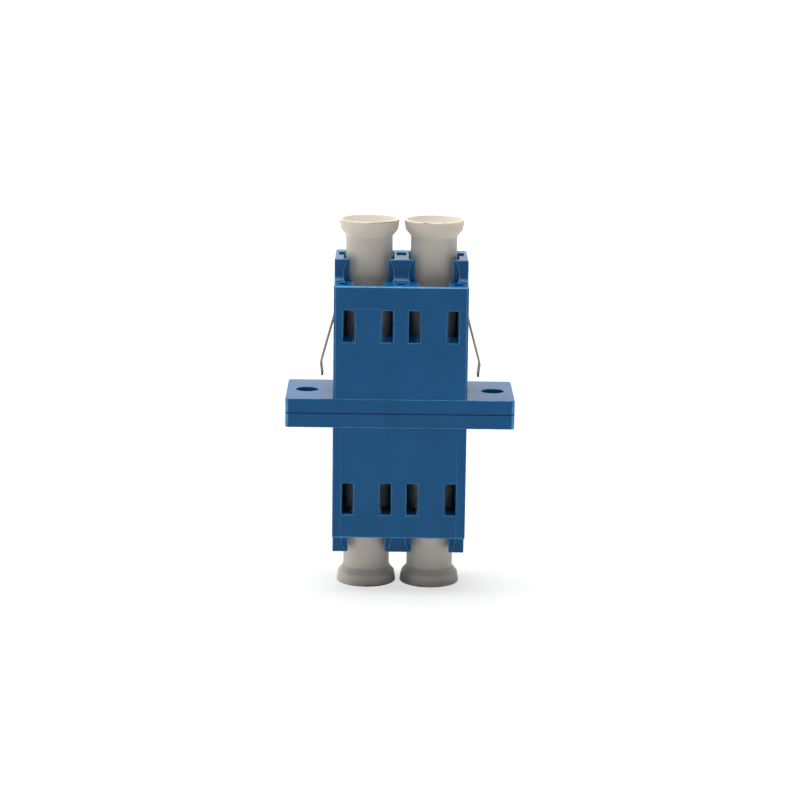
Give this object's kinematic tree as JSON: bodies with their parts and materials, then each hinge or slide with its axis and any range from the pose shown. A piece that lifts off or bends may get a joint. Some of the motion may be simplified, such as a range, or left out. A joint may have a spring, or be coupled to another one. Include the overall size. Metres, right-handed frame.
{
  "type": "fibre optic adapter",
  "caption": "Duplex fibre adapter with a screw flange, latch windows, a spring clip for a panel and a pull-off dust cap in each port.",
  "frame": {"origin": "centre of the flange, on the plane where the two housing halves meet, midway between the optical axes in X", "axes": "+Z along the optical axes towards the ports on the clip's side, +X across the two ports, -Y towards the latch windows"},
  "size_m": [0.022, 0.0094, 0.036],
  "materials": {
    "housing": "blue moulded plastic, satin",
    "sleeve": "white zirconia, polished",
    "clip": "spring steel strip, rolled",
    "cap": "off-white moulded plastic, matte"
  },
  "bodies": {
    "adapter": {"housing_upper": "housing", "housing_lower": "housing", "sleeve_left": "sleeve", "sleeve_right": "sleeve", "panel_clip": "clip"},
    "cap_upper_left": {"dust_cap_upper_left": "cap"},
    "cap_upper_right": {"dust_cap_upper_right": "cap"},
    "cap_lower_left": {"dust_cap_lower_left": "cap"},
    "cap_lower_right": {"dust_cap_lower_right": "cap"}
  },
  "joints": [
    {"name": "cap_upper_left_pull", "type": "slide", "parent": "adapter", "child": "cap_upper_left", "axis": [0, 0, 1], "range_m": [0, 0.0135]},
    {"name": "cap_upper_right_pull", "type": "slide", "parent": "adapter", "child": "cap_upper_right", "axis": [0, 0, 1], "range_m": [0, 0.0135]},
    {"name": "cap_lower_left_pull", "type": "slide", "parent": "adapter", "child": "cap_lower_left", "axis": [0, 0, -1], "range_m": [0, 0.0135]},
    {"name": "cap_lower_right_pull", "type": "slide", "parent": "adapter", "child": "cap_lower_right", "axis": [0, 0, -1], "range_m": [0, 0.0135]}
  ]
}
